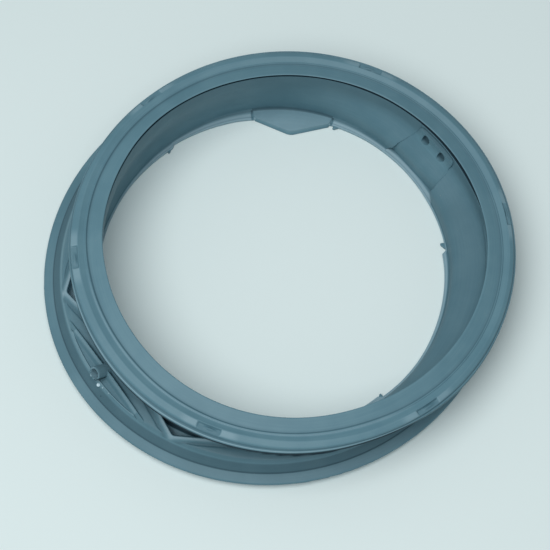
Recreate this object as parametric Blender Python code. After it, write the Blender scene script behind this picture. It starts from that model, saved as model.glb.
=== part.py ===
"""Door gasket of a front-loading washing machine, moulded in one piece of rubber.

The ring lies on its tub side.  It is first modelled straight, turned about Z, and then leans:
the door-side ring is shifted and tilted over the tub-side flange, as the soft part settles.
Metres, +Z up, origin at the middle of the bounding box's base.
"""
import bmesh
import bpy
import numpy as np
from math import asin, cos, pi, radians, sin, tan
from mathutils import Matrix, Vector

MM = 0.001
SEGMENTS = 108                # steps of the turned body

# Tub side
REST_OUTER_R = 182.6 * MM     # outer rim of the face that it rests on
FLANGE_R = 186.0 * MM         # widest edge of the tub-side flange
FLANGE_EDGE_Z = 6.8 * MM
FLANGE_INNER_R = 177.6 * MM   # where the flange meets the clamp seat
FLANGE_INNER_Z = 10.6 * MM
SHOULDER_R = 171.6 * MM
SHOULDER_Z = 17.2 * MM
SHELF_RIDGE_R = 169.8 * MM
SHELF_RIDGE_Z = 19.8 * MM
SHELF_INNER_Z = 21.8 * MM
SEAT_GROOVE_IN_R = 157.0 * MM  # shallow ring that the tub's rim seats in
SEAT_GROOVE_OUT_R = 173.0 * MM
SEAT_GROOVE_DEPTH = 3.5 * MM
SEAT_GROOVE_DRAFT = 1.2 * MM

# Inner tube of the bellows
WALL_OUTER_R = 154.6 * MM
WALL_REAR_R = 149.6 * MM
WALL_FRONT_R = 150.3 * MM
WALL_FILLET = 1.6 * MM
WALL_REAR_Z = 4.6 * MM

# Tub-side lip
REAR_LIP_R = 142.5 * MM
REAR_LIP_T = 3.0 * MM

# Door side ring
FRONT_R = 176.0 * MM
FRONT_EDGE_Z = 53.7 * MM      # height of its widest edge before it leans
BAND_GROOVE_R = 167.6 * MM    # bottom of the groove for the clamp wire
BAND_GROOVE_Z = 48.8 * MM
BAND_GROOVE_HALF = 2.2 * MM
BACK_BEAD_R = 171.5 * MM
BACK_BEAD_Z = 45.0 * MM
RING_BACK_Z = 43.0 * MM
EDGE_BEAD_R = 175.2 * MM
EDGE_BEAD_RISE = 1.2 * MM
EDGE_GROOVE_R = 173.9 * MM
EDGE_GROOVE_RISE = 0.8 * MM
CROWN_OUTER_R = 172.8 * MM
CROWN_OUTER_RISE = 3.4 * MM
CROWN_INNER_R = 167.8 * MM
CROWN_INNER_RISE = 4.9 * MM
BAND_STEP = 0.6 * MM
BAND_INNER_R = 163.4 * MM
BAND_INNER_RISE = 3.2 * MM
RIB_R = 162.4 * MM
RIB_RISE = 4.0 * MM
RIB_HALF = 0.5 * MM
CREASE_R = 161.0 * MM
CREASE_RISE = 2.6 * MM
LIP_R = 149.5 * MM
LIP_RISE = 5.9 * MM
LIP_EDGE_T = 1.4 * MM
LEDGE_RISE = 1.9 * MM         # top of the inner wall, below the gutter behind the lip
GUTTER_R = 155.8 * MM         # bottom of that gutter
GUTTER_RISE = 1.6 * MM
GUTTER_H = 1.4 * MM

# Notches in the crown of the door-side ring, where it lies on the cabinet's clips
NOTCH_ANGLES = (12.0, 69.0, 133.5, 187.0, 249.5, 308.0)
NOTCH_HALF = radians(3.2)
NOTCH_INNER_R = 168.9 * MM
NOTCH_OUTER_R = 174.3 * MM
NOTCH_DEPTH = 2.2 * MM

# V-shaped pockets in the fold, one each side of the drain stub and the rest evenly between
POCKETS = 6
POCKET_BESIDE_STUB = radians(26.6)
POCKET_APEX_R = 168.6 * MM
POCKET_SIDE = radians(25.0)   # between each side and the tangent
POCKET_FLOOR_Z = 12.6 * MM
POCKET_WALL_GAP = 0.6 * MM

# Small teeth on the edge of the tub-side lip
NIBS = 6
NIB_AT = radians(8.5)
NIB_HEIGHT = 2.2 * MM
NIB_WIDTH = 6.0 * MM
NIB_T = 2.2 * MM

# Pull tongue on the tub-side lip
TONGUE_AT = radians(84.0)
TONGUE_HALF = radians(13.1)
TONGUE_SHOULDER_R = 141.4 * MM
TONGUE_TIP_R = 129.4 * MM
TONGUE_T = 3.9 * MM
TONGUE_DRAFT = 1.6 * MM       # how far its underside reaches past its top

# Flat pad with two round recesses in the inner wall
PAD_AT = radians(38.5)
PAD_FOOT_R = 147.2 * MM       # distance of the flat from the axis at its foot
PAD_TOP_R = 148.9 * MM        # and at its top
PAD_FOOT_HALF = 25.0 * MM
PAD_TOP_HALF = 20.5 * MM
PAD_TOP_Z = 50.8 * MM
DIMPLE_R = 3.7 * MM
DIMPLE_DEPTH = 3.6 * MM
DIMPLE_SPACING = 19.6 * MM
DIMPLE_ASIDE = 2.4 * MM       # from the pad's middle to that of the pair
DIMPLE_Z = 42.4 * MM

# Drain stub in the fold, with a flat for its hose; it stays straight where the wall leans
STUB_AT = radians(-143.1)
STUB_RISE = radians(35.0)
STUB_R = 5.5 * MM
STUB_BORE_R = 3.8 * MM
STUB_MOUTH_AT = radians(-143.8)
STUB_MOUTH_R = 172.6 * MM     # distance of the mouth's centre from the axis
STUB_MOUTH_Z = 23.0 * MM      # all three before the lean carries it along
STUB_ROOT_R = 158.0 * MM      # where the outside starts, inside the shelf
FLAT_CHORD_R = 164.3 * MM
FLAT_Z = 17.9 * MM
FLAT_HALF = 50.0 * MM

# How the soft ring leans where it lies
LEAN_SHIFT = 19.7 * MM
LEAN_TILT = radians(4.63)
LEAN_FROM_Z = 12.0 * MM
LEAN_TO_Z = 44.0 * MM

RUBBER_COLOR = (0.105, 0.17, 0.2, 1.0)
RUBBER_ROUGHNESS = 0.5


def clear_scene():
    for obj in list(bpy.data.objects):
        bpy.data.objects.remove(obj, do_unlink=True)


def rubber_material():
    mat = bpy.data.materials.new("grey_rubber")
    mat.use_nodes = True
    bsdf = mat.node_tree.nodes["Principled BSDF"]
    bsdf.inputs["Base Color"].default_value = RUBBER_COLOR
    bsdf.inputs["Roughness"].default_value = RUBBER_ROUGHNESS
    bsdf.inputs["Metallic"].default_value = 0.0
    return mat


def front(rise):
    return FRONT_EDGE_Z + rise


def section():
    """The turned section as (radius, height), up the outside and down the inside."""
    tub_side = [
        (REST_OUTER_R, 0.0),
        (FLANGE_R, FLANGE_EDGE_Z),
        (FLANGE_R - 0.6 * MM, FLANGE_EDGE_Z + 1.4 * MM),
        (FLANGE_INNER_R, FLANGE_INNER_Z),
        (SHOULDER_R, SHOULDER_Z),
        (SHELF_RIDGE_R, SHELF_RIDGE_Z),
        (WALL_OUTER_R + WALL_FILLET, SHELF_INNER_Z),
        (WALL_OUTER_R, SHELF_INNER_Z + WALL_FILLET),
    ]
    ring_back = [
        (WALL_OUTER_R, RING_BACK_Z - WALL_FILLET),
        (WALL_OUTER_R + WALL_FILLET, RING_BACK_Z),
        (BACK_BEAD_R - 1.2 * MM, RING_BACK_Z + 0.6 * MM),
        (BACK_BEAD_R, BACK_BEAD_Z),
        (BAND_GROOVE_R, BAND_GROOVE_Z - 0.5 * BAND_GROOVE_HALF),
        (BAND_GROOVE_R, BAND_GROOVE_Z + 0.5 * BAND_GROOVE_HALF),
        (FRONT_R - 1.4 * MM, front(-1.9 * MM)),
    ]
    ring_front = [
        (FRONT_R, front(0.0)),
        (EDGE_BEAD_R, front(EDGE_BEAD_RISE)),
        (EDGE_GROOVE_R, front(EDGE_GROOVE_RISE)),
        (CROWN_OUTER_R, front(CROWN_OUTER_RISE)),
        (CROWN_INNER_R, front(CROWN_INNER_RISE)),
        (CROWN_INNER_R - BAND_STEP, front(CROWN_INNER_RISE - BAND_STEP)),
        (BAND_INNER_R, front(BAND_INNER_RISE)),
        (RIB_R + RIB_HALF, front(RIB_RISE)),
        (RIB_R - RIB_HALF, front(RIB_RISE)),
        (CREASE_R, front(CREASE_RISE)),
        (LIP_R + 1.0 * MM, front(LIP_RISE)),
        (LIP_R, front(LIP_RISE - 0.5 * LIP_EDGE_T)),
        (LIP_R + 0.5 * MM, front(LIP_RISE - LIP_EDGE_T)),
    ]
    inside = [
        (GUTTER_R, front(GUTTER_RISE + 0.5 * GUTTER_H)),
        (GUTTER_R, front(GUTTER_RISE - 0.5 * GUTTER_H)),
        (WALL_FRONT_R + 0.6 * MM, front(LEDGE_RISE)),
        (WALL_FRONT_R, front(LEDGE_RISE - 0.6 * MM)),
        (0.5 * (WALL_FRONT_R + WALL_REAR_R), 0.5 * (front(LEDGE_RISE) + WALL_REAR_Z)),
        (WALL_REAR_R, WALL_REAR_Z),
        (WALL_REAR_R - (WALL_REAR_Z - REAR_LIP_T), REAR_LIP_T),
        (REAR_LIP_R + 0.5 * MM, REAR_LIP_T),
        (REAR_LIP_R, REAR_LIP_T - 0.6 * MM),
        (REAR_LIP_R + 0.4 * MM, 0.0),
        (SEAT_GROOVE_IN_R, 0.0),
        (SEAT_GROOVE_IN_R + SEAT_GROOVE_DRAFT, SEAT_GROOVE_DEPTH),
        (SEAT_GROOVE_OUT_R - SEAT_GROOVE_DRAFT, SEAT_GROOVE_DEPTH),
        (SEAT_GROOVE_OUT_R, 0.0),
    ]
    return tub_side + ring_back + ring_front + inside


def mesh_object(name, bm):
    bmesh.ops.recalc_face_normals(bm, faces=bm.faces[:])
    mesh = bpy.data.meshes.new(name)
    bm.to_mesh(mesh)
    bm.free()
    obj = bpy.data.objects.new(name, mesh)
    bpy.context.scene.collection.objects.link(obj)
    return obj


def make_tool(name, bm):
    """A cutter or a piece to be joined, left out of the finished part."""
    obj = mesh_object(name, bm)
    obj.hide_render = True
    obj.display_type = 'WIRE'
    return obj


def turned_body():
    bm = bmesh.new()
    loop = [bm.verts.new((r, 0.0, z)) for r, z in section()]
    edges = [bm.edges.new((a, b)) for a, b in zip(loop, loop[1:] + loop[:1])]
    bmesh.ops.spin(bm, geom=loop + edges, cent=(0, 0, 0), axis=(0, 0, 1), angle=2 * pi,
                   steps=SEGMENTS, use_merge=True)
    bmesh.ops.remove_doubles(bm, verts=bm.verts[:], dist=0.00001)
    return mesh_object("gasket", bm)


def loft(bm, bottom, top, z0, z1):
    """A closed solid between two plan outlines of (x, y) points."""
    rings = [[bm.verts.new((x, y, z)) for x, y in outline]
             for outline, z in ((bottom, z0), (top, z1))]
    bm.faces.new(rings[0][::-1])
    bm.faces.new(rings[1])
    edges = [bm.edges.get((a, b)) for ring in rings for a, b in zip(ring, ring[1:] + ring[:1])]
    bmesh.ops.bridge_loops(bm, edges=edges)


def prism(bm, outline, z0, z1):
    loft(bm, outline, outline, z0, z1)


def polar(r, angle):
    return r * cos(angle), r * sin(angle)


def local(angle, out, along):
    """Plan point at a distance outwards along angle and sideways from it."""
    return (out * cos(angle) - along * sin(angle), out * sin(angle) + along * cos(angle))


def arc(r, start, stop, steps):
    return [polar(r, a) for a in np.linspace(start, stop, steps + 1)]


def notch_cutter():
    bm = bmesh.new()
    floor = front(CROWN_INNER_RISE) - NOTCH_DEPTH
    for mid in map(radians, NOTCH_ANGLES):
        outline = arc(NOTCH_INNER_R, mid - NOTCH_HALF, mid + NOTCH_HALF, 3)
        outline += arc(NOTCH_OUTER_R, mid + NOTCH_HALF, mid - NOTCH_HALF, 3)
        prism(bm, outline, floor, floor + 6 * MM)
    return make_tool("notch_cutter", bm)


def pocket_cutter():
    """V-shaped pockets behind the shelf, point outwards, open to the fold."""
    bm = bmesh.new()
    inner = WALL_OUTER_R + POCKET_WALL_GAP
    half = (POCKET_APEX_R - inner) / tan(POCKET_SIDE) / inner
    step = (2 * pi - 2 * POCKET_BESIDE_STUB) / (POCKETS - 1)
    for k in range(POCKETS):
        mid = STUB_AT + POCKET_BESIDE_STUB + k * step
        outline = [polar(POCKET_APEX_R, mid)]
        outline += arc(inner, mid + half, mid - half, 6)
        prism(bm, outline, POCKET_FLOOR_Z, SHELF_INNER_Z + 4 * MM)
    return make_tool("pocket_cutter", bm)


def flat_cutter():
    """Clears the shelf outside a chord, below the drain stub."""
    bm = bmesh.new()
    reach = SHOULDER_R + 6 * MM
    outline = [local(STUB_AT, FLAT_CHORD_R, -FLAT_HALF), local(STUB_AT, reach, -FLAT_HALF),
               local(STUB_AT, reach, FLAT_HALF), local(STUB_AT, FLAT_CHORD_R, FLAT_HALF)]
    prism(bm, outline, FLAT_Z, SHELF_INNER_Z + 4 * MM)
    return make_tool("flat_cutter", bm)


def pad_block():
    """A flat that leans with the wall, wider at its foot, its back inside the wall."""
    plans = []
    back = 0.5 * (WALL_FRONT_R + WALL_OUTER_R)
    for face, half in ((PAD_FOOT_R, PAD_FOOT_HALF), (PAD_TOP_R, PAD_TOP_HALF)):
        reach = asin(half / back)
        plans.append([local(PAD_AT, face, -half), *arc(back, PAD_AT - reach, PAD_AT + reach, 8),
                      local(PAD_AT, face, half)])
    bm = bmesh.new()
    loft(bm, plans[0], plans[1], REAR_LIP_T - 0.8 * MM, PAD_TOP_Z)
    return make_tool("pad_block", bm)


def pad_face_at(z):
    share = (z - REAR_LIP_T) / (PAD_TOP_Z - REAR_LIP_T)
    return PAD_FOOT_R + share * (PAD_TOP_R - PAD_FOOT_R)


def rod(bm, start, end, radius, sides):
    axis = end - start
    turn = axis.to_track_quat('Z', 'Y').to_matrix().to_4x4()
    place = Matrix.Translation(0.5 * (start + end)) @ turn
    bmesh.ops.create_cone(bm, cap_ends=True, segments=sides, radius1=radius, radius2=radius,
                          depth=axis.length, matrix=place)


def dimple_cutter():
    bm = bmesh.new()
    face = pad_face_at(DIMPLE_Z)
    for side in (-0.5, 0.5):
        along = DIMPLE_ASIDE + side * DIMPLE_SPACING
        x0, y0 = local(PAD_AT, face - 6 * MM, along)
        x1, y1 = local(PAD_AT, face + DIMPLE_DEPTH, along)
        rod(bm, Vector((x0, y0, DIMPLE_Z)), Vector((x1, y1, DIMPLE_Z)), DIMPLE_R, 20)
    return make_tool("dimple_cutter", bm)


def stub_line():
    """Mouth centre of the drain stub where it lies, and its outward direction."""
    x, y = polar(STUB_MOUTH_R, STUB_MOUTH_AT)
    ux, uy = polar(cos(STUB_RISE), STUB_AT)
    return leant(Vector((x, y, STUB_MOUTH_Z))), Vector((ux, uy, sin(STUB_RISE)))


def stub_rod():
    mouth, out = stub_line()
    root = mouth - out * ((STUB_MOUTH_R - STUB_ROOT_R) / cos(STUB_RISE))
    bm = bmesh.new()
    rod(bm, root, mouth, STUB_R, 24)
    return make_tool("stub_rod", bm)


def bore_cutter():
    mouth, out = stub_line()
    inside = mouth - out * ((STUB_MOUTH_R - WALL_REAR_R) / cos(STUB_RISE))
    bm = bmesh.new()
    rod(bm, inside, mouth + out * 3 * MM, STUB_BORE_R, 16)
    return make_tool("bore_cutter", bm)


def tongue_outline(inset):
    side = TONGUE_HALF
    shoulder = TONGUE_SHOULDER_R + inset
    tip = TONGUE_TIP_R + inset
    outline = arc(WALL_REAR_R + 2 * MM, TONGUE_AT - side, TONGUE_AT + side, 6)
    outline.append(polar(shoulder + 2.5 * MM, TONGUE_AT + side))
    outline.append(polar(shoulder, TONGUE_AT + side - radians(1.0)))
    outline.append(local(TONGUE_AT, tip + 0.4 * MM, 3 * MM))
    outline.append(local(TONGUE_AT, tip, 0.0))
    outline.append(local(TONGUE_AT, tip + 0.4 * MM, -3 * MM))
    outline.append(polar(shoulder, TONGUE_AT - side + radians(1.0)))
    outline.append(polar(shoulder + 2.5 * MM, TONGUE_AT - side))
    return outline


def tongue_plate():
    """Plate with a pointed end that reaches into the ring, for pulling it over the rim."""
    bm = bmesh.new()
    loft(bm, tongue_outline(-TONGUE_DRAFT), tongue_outline(0.0), 0.4 * MM, TONGUE_T)
    return make_tool("tongue_plate", bm)


def lip_nibs():
    bm = bmesh.new()
    tip = REAR_LIP_R - NIB_HEIGHT
    root = REAR_LIP_R + 2 * MM
    for k in range(NIBS):
        mid = NIB_AT + 2 * pi * k / NIBS
        outline = [local(mid, root, -0.6 * NIB_WIDTH), local(mid, root, 0.4 * NIB_WIDTH),
                   local(mid, tip, 0.4 * NIB_WIDTH), local(mid, tip, 0.15 * NIB_WIDTH)]
        prism(bm, outline, 0.3 * MM, NIB_T + 0.3 * MM)
    return make_tool("lip_nibs", bm)


def combine(body, tool, operation):
    mod = body.modifiers.new(tool.name, 'BOOLEAN')
    mod.operation = operation
    mod.solver = 'EXACT'
    mod.object = tool


def baked_mesh(body):
    """The body's mesh with its modifiers worked out."""
    graph = bpy.context.evaluated_depsgraph_get()
    mesh = bpy.data.meshes.new_from_object(body.evaluated_get(graph))
    body.modifiers.clear()
    body.data = mesh
    return mesh


def leant(co):
    """Blend from where the tub side lies to the shifted and tilted door side."""
    t = min(max((co.z - LEAN_FROM_Z) / (LEAN_TO_Z - LEAN_FROM_Z), 0.0), 1.0)
    w = t * t * (3 - 2 * t)
    rise = co.z - FRONT_EDGE_Z
    x = LEAN_SHIFT + co.x * cos(LEAN_TILT) + rise * sin(LEAN_TILT)
    z = FRONT_EDGE_Z - co.x * sin(LEAN_TILT) + rise * cos(LEAN_TILT)
    return co.lerp(Vector((x, co.y, z)), w)


def lean(mesh):
    """Let the door-side ring lean over the flange."""
    bm = bmesh.new()
    bm.from_mesh(mesh)
    bmesh.ops.remove_doubles(bm, verts=bm.verts[:], dist=0.00002)
    bmesh.ops.triangulate(bm, faces=bm.faces[:])
    for vert in bm.verts:
        vert.co = leant(vert.co)
    bm.to_mesh(mesh)
    bm.free()


def settle(mesh):
    """Put the middle of the base at the origin."""
    bm = bmesh.new()
    bm.from_mesh(mesh)
    bmesh.ops.remove_doubles(bm, verts=bm.verts[:], dist=0.00002)
    bmesh.ops.triangulate(bm, faces=bm.faces[:])
    cos_all = np.array([vert.co[:] for vert in bm.verts])
    middle = 0.5 * (cos_all.min(axis=0) + cos_all.max(axis=0))
    base = float(cos_all[:, 2].min())
    bmesh.ops.translate(bm, verts=bm.verts[:], vec=(-middle[0], -middle[1], -base))
    bm.to_mesh(mesh)
    bm.free()
    mesh.shade_smooth()
    mesh.set_sharp_from_angle(angle=radians(35))


def build():
    clear_scene()
    body = turned_body()
    for tool in (flat_cutter(), pocket_cutter(), notch_cutter()):
        combine(body, tool, 'DIFFERENCE')
    for tool in (pad_block(), tongue_plate(), lip_nibs()):
        combine(body, tool, 'UNION')
    combine(body, dimple_cutter(), 'DIFFERENCE')
    lean(baked_mesh(body))
    combine(body, stub_rod(), 'UNION')
    combine(body, bore_cutter(), 'DIFFERENCE')
    settle(baked_mesh(body))
    body.data.materials.clear()
    body.data.materials.append(rubber_material())


build()
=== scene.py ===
"""Looks of a washing machine door gasket, moulded in one piece of blue-grey rubber.

The ring is modelled straight, turned about Z, and then leans as the soft part does where it lies on
its tub side. Radii and heights of the straight ring are measured from its axis and from the face
that it rests on.
"""
from math import atan2, cos, degrees, hypot, pi, radians, sin, tan

import bmesh
import bpy
from bpy.props import FloatProperty, FloatVectorProperty, IntProperty, PointerProperty
from mathutils import Matrix, Vector, noise


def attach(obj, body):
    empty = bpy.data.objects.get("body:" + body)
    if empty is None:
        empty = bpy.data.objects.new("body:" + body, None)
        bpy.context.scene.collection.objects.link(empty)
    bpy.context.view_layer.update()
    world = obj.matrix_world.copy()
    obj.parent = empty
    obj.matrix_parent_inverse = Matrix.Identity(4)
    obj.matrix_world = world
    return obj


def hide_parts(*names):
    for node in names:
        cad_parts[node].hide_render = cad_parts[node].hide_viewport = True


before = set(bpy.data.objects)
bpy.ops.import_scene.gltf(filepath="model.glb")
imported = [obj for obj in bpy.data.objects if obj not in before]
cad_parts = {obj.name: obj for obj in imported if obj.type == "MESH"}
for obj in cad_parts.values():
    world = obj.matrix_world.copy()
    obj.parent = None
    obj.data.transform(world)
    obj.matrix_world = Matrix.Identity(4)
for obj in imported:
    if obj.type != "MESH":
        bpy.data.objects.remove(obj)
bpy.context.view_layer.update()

bl_info = {
    "name": "Door gasket",
    "version": (1, 0, 0),
    "blender": (4, 5, 0),
    "location": "3D View > Sidebar > Gasket",
    "description": "Builds the moulded rubber door gasket of a washing machine and its studio",
    "category": "Add Mesh",
}

MM = 0.001
BODY = "root"
NODE = "gasket"
MATERIAL = "moulded_grey_rubber"
LAY = "moulded_place"          # attribute with each point's place in the straight ring
PAINTED_LIGHT_TONE = "tone"                  # attribute, mostly painted shade and painted highlight: 1 where the rubber is palest, -1 where it is nearly black
# Colours that the painted highlight and the painted shade blend towards
PAINTED_HIGHLIGHT_PALEST = (0.56, 0.74, 0.82, 1.0)
PAINTED_SHADE_DARKEST = (0.006, 0.020, 0.032, 1.0)

SECTORS = 24                   # equal parts that a turned piece is merged from

# Places in the straight ring, in millimetres and degrees
FRONT_EDGE_Z = 53.7            # widest edge of the door-side ring
NOTCHES = (9.8, 68.8, 133.6, 187.3, 249.3, 307.5)
STUB_AT = -143.1
POCKETS = 6
LIP_EDGE_R = 142.5             # edge of the tub-side lip
TONGUE_HALF = 13.1
TONGUE_GROOVE = 13.55          # the groove each side of the tongue, from its middle
PAD_FOOT_Z, PAD_TOP_Z = 2.4, 51.8
PAD_FACE_R, PAD_FACE_Z = 147.2, 3.0      # the pad's face at its foot
PAD_FACE_SLOPE = 1.7 / 47.8
RECESS_Z, RECESS_R, RECESS_DEPTH = 42.2, 3.9, 3.9
RECESSES = (12.2, -7.4)        # how far to the side of the pad's middle each recess lies
RECESS_STRETCH = 1.55          # their height as a share of their width
# The pad's two edges: (height, how far to the side of its middle)
PAD_LEFT = ((2.4, 28.5), (6.8, 25.5), (11, 22.0), (16, 20.8), (26, 21.5), (38.5, 23.6), (50.2, 21.1))
PAD_RIGHT = ((4, -36), (7.4, -34), (11.7, -31.6), (19, -30.3), (31.8, -22.9), (39.4, -18.8), (53.2, -20.3))
# The pips beside the drain stub: (distance, direction, radius, height, tone)
PIPS = ((171.1, -140.9, 1.6, 18.1, 1.0), (170.0, -139.4, 0.8, 19.0, 0.45),
        (174.9, -138.6, 0.6, 13.7, -0.5), (169.3, -137.1, 0.8, 19.1, 0.4))

# The camera, fitted to the outlines of the two rings and of the opening, the lamp and the floor, in metres
CAMERA_PLACE = (0.070937, -0.5948, 1.2808)
CAMERA_TURN = ((0.9987, 0.0, 0.0511), (0.0214, 0.9081, -0.4181), (-0.0464, 0.4187, 0.9070))
LAMP_PLACE, LAMP_AIM, LAMP_SIZE = Vector((-0.3, -0.42, 1.7)), Vector((0, 0, 0.03)), 1.9
SKY = (0.93, 0.97, 1.0, 1.0)
FLOOR_RADIUS = 6.0


class GasketSizes(bpy.types.PropertyGroup):
    """Sizes of the moulding"""
    lean_shift: FloatProperty(
        name="Lean shift", description="How far the door-side ring has moved along X over the flange",
        default=19.7 * MM, unit='LENGTH')
    lean_tilt: FloatProperty(
        name="Lean tilt", description="How far the door-side ring tips down towards X",
        default=radians(4.63), subtype='ANGLE')
    lean_from: FloatProperty(
        name="Lean starts", description="Height at which the wall starts to lean",
        default=12.0 * MM, unit='LENGTH')
    lean_to: FloatProperty(
        name="Lean ends", description="Height from which the ring is fully shifted",
        default=44.0 * MM, unit='LENGTH')
    set_back: FloatProperty(
        name="Set back", description="From the flange's axis to the middle of the whole part, along X",
        default=4.563 * MM, unit='LENGTH')
    ring_steps: IntProperty(
        name="Ring steps", description="Steps of the turned door-side ring",
        default=672, min=96)
    flange_steps: IntProperty(
        name="Flange steps", description="Steps of the turned tub-side flange",
        default=480, min=96)
    wall_steps: IntProperty(
        name="Wall steps", description="Steps of the turned inner wall",
        default=720, min=96)
    notch_half: FloatProperty(
        name="Notch half width", description="Half the angle that a crown notch takes",
        default=radians(3.2), subtype='ANGLE')
    notch_depth: FloatProperty(
        name="Notch depth", description="How far a notch is let into the crown",
        default=2.3 * MM, unit='LENGTH')
    pocket_apex: FloatProperty(
        name="Pocket apex", description="Distance of a pocket's point from the axis",
        default=168.6 * MM, unit='LENGTH')
    pocket_floor: FloatProperty(
        name="Pocket floor", description="Height of a pocket's floor",
        default=12.6 * MM, unit='LENGTH')
    pocket_beside: FloatProperty(
        name="Pockets beside the stub", description="Angle from the drain stub to the pocket on each side",
        default=radians(26.6), subtype='ANGLE')
    bead_rise: FloatProperty(
        name="Pocket bead", description="Height of the rounded bead around a pocket",
        default=1.9 * MM, unit='LENGTH')
    flat_chord: FloatProperty(
        name="Flat chord", description="Distance of the stub's flat from the axis",
        default=164.3 * MM, unit='LENGTH')
    flat_z: FloatProperty(
        name="Flat height", description="Height of the stub's flat",
        default=17.9 * MM, unit='LENGTH')
    pad_at: FloatProperty(
        name="Pad place", description="Direction of the flat pad in the inner wall",
        default=radians(38.5), subtype='ANGLE')
    tongue_at: FloatProperty(
        name="Tongue place", description="Direction of the pull tongue",
        default=radians(84.0), subtype='ANGLE')
    tongue_tip: FloatProperty(
        name="Tongue tip", description="Distance of the tongue's tip from the axis",
        default=129.4 * MM, unit='LENGTH')
    nib_height: FloatProperty(
        name="Nib height", description="How far a nib reaches into the opening",
        default=2.2 * MM, unit='LENGTH')
    stub_radius: FloatProperty(
        name="Stub radius", description="Outer radius of the drain stub",
        default=5.5 * MM, unit='LENGTH')
    bore_radius: FloatProperty(
        name="Bore radius", description="Radius of the drain stub's bore",
        default=3.8 * MM, unit='LENGTH')


class RubberFinish(bpy.types.PropertyGroup):
    """Colours and surface of the rubber"""
    base: FloatVectorProperty(
        name="Rubber", description="Main colour of the rubber",
        default=(0.095, 0.206, 0.260), size=3, subtype='COLOR', min=0, max=1)
    bloom: FloatVectorProperty(
        name="Bloom", description="Paler colour where the surface has bloomed",
        default=(0.132, 0.255, 0.305), size=3, subtype='COLOR', min=0, max=1)
    deep: FloatVectorProperty(
        name="Deep tone", description="Darker, greener tone of the cleaner rubber",
        default=(0.074, 0.165, 0.194), size=3, subtype='COLOR', min=0, max=1)
    scuff: FloatVectorProperty(
        name="Scuff", description="Colour of worn and dusty marks",
        default=(0.27, 0.31, 0.30), size=3, subtype='COLOR', min=0, max=1)
    roughness: FloatProperty(
        name="Roughness", description="Roughness of the plain surface",
        default=0.46, min=0, max=1)
    grain: FloatProperty(
        name="Grain", description="Strength of the fine moulded grain",
        default=0.22, min=0, max=1)


class StudioSettings(bpy.types.PropertyGroup):
    """Floor, lamp, light from all round and camera"""
    floor: FloatVectorProperty(
        name="Floor", description="Colour of the floor",
        default=(0.70, 0.81, 0.81), size=3, subtype='COLOR', min=0, max=1)
    key: FloatProperty(
        name="Key lamp", description="Power of the large lamp over the front",
        default=27.0, min=0, unit='POWER')
    fill: FloatProperty(
        name="Fill", description="Strength of the light from all round",
        default=0.31, min=0)
    lens: FloatProperty(
        name="Lens", description="Focal length of the camera in millimetres",
        default=112.97, min=1)


def clamp(x, low=0.0, high=1.0):
    return min(max(x, low), high)


def ramp(x, edge, width):
    """0 below an edge and 1 above it, with a smooth change of a given width."""
    t = clamp((x - edge) / width + 0.5)
    return t * t * (3 - 2 * t)


def within(x, low, high, width):
    """1 between two edges and 0 beyond them, with a smooth change of a given width at each."""
    return ramp(x, low, width) * (1 - ramp(x, high, width))


def hump(x, middle, half):
    """A rounded bump: 1 at its middle and 0 from a half width away."""
    t = clamp(abs(x - middle) / half)
    return 0.5 + 0.5 * cos(pi * t)


def turn_from(angle, mid):
    """Signed angle from a direction, the short way round."""
    return (angle - mid + pi) % (2 * pi) - pi


def softer_min(a, b, reach):
    """The smaller of two numbers, rounded where they are closer than a reach."""
    h = clamp(0.5 + 0.5 * (b - a) / reach)
    return b + (a - b) * h - reach * h * (1 - h)


def around(points, soft=True):
    """A closed curve through (degrees, millimetres) points, smooth or in straight runs."""
    spots = [(points[-1][0] - 360, points[-1][1]), *points]
    spots += [(a + 360, v) for a, v in points[:2]]
    known = {}

    def value(angle):
        at = round((degrees(angle) - points[0][0]) % 360 + points[0][0], 3)
        if at not in known:
            k = 1
            while spots[k + 1][0] <= at:
                k += 1
            (a9, v9), (a0, v0), (a1, v1) = spots[k - 1:k + 2]
            a2, v2 = spots[k + 2] if k + 2 < len(spots) else (a1 + 20, v1)
            t = (at - a0) / (a1 - a0)
            slope0, slope1 = (v1 - v9) / (a1 - a9) * (a1 - a0), (v2 - v0) / (a2 - a0) * (a1 - a0)
            if not soft:
                slope0 = slope1 = v1 - v0
            known[at] = MM * (v0 + t * (slope0 + t * (3 * (v1 - v0) - 2 * slope0 - slope1
                                                      + t * (2 * (v0 - v1) + slope0 + slope1))))
        return known[at]

    return value


# How far the soft ring has crept out of round: (degrees, millimetres) at the lip's edge, at the
# crease, at the inner and outer edges of the crown, at the widest edge, and on the inner wall
LIP_CREEP = around((
    (-180, 0.1), (-165, -1.25), (-142, -1.65), (-120, -0.65), (-100, 0.0), (-70, -0.3), (-55, 0.85),
    (-40, 2.1), (-25, 3.2), (-5, 4.1), (6, 4.1), (20, 3.1), (35, 1.95), (50, 1.0), (70, 0.35),
    (90, 0.0), (107, 0.35), (120, 1.1), (135, 2.1), (145, 1.9), (155, 1.1), (168, 0.4)
))
CREASE_CREEP = around((
    (-180, 0.9), (-165, -0.5), (-142, -1.4), (-120, -0.5), (-100, 0.0), (-80, -0.5), (-68, -0.3),
    (-55, 1.2), (-40, 2.7), (-25, 3.5), (-5, 3.6), (10, 3.1), (25, 2.3), (40, 1.4), (55, 0.8),
    (70, 0.5), (90, 0.3), (110, 0.5), (130, 1.2), (145, 1.8), (163, 1.8)
))
CROWN_IN_CREEP = around((
    (-180, 1.1), (-162, 0.2), (-142, -0.4), (-120, 0.3), (-100, 0.1), (-80, 0.3), (-68, 1.1),
    (-55, 1.9), (-40, 3.1), (-25, 3.5), (-5, 3.4), (10, 3.3), (20, 2.5), (35, 1.6), (50, 0.6),
    (70, 0.1), (90, 0.1), (110, 0.3), (130, 0.8), (145, 1.6), (163, 1.7)
))
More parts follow.
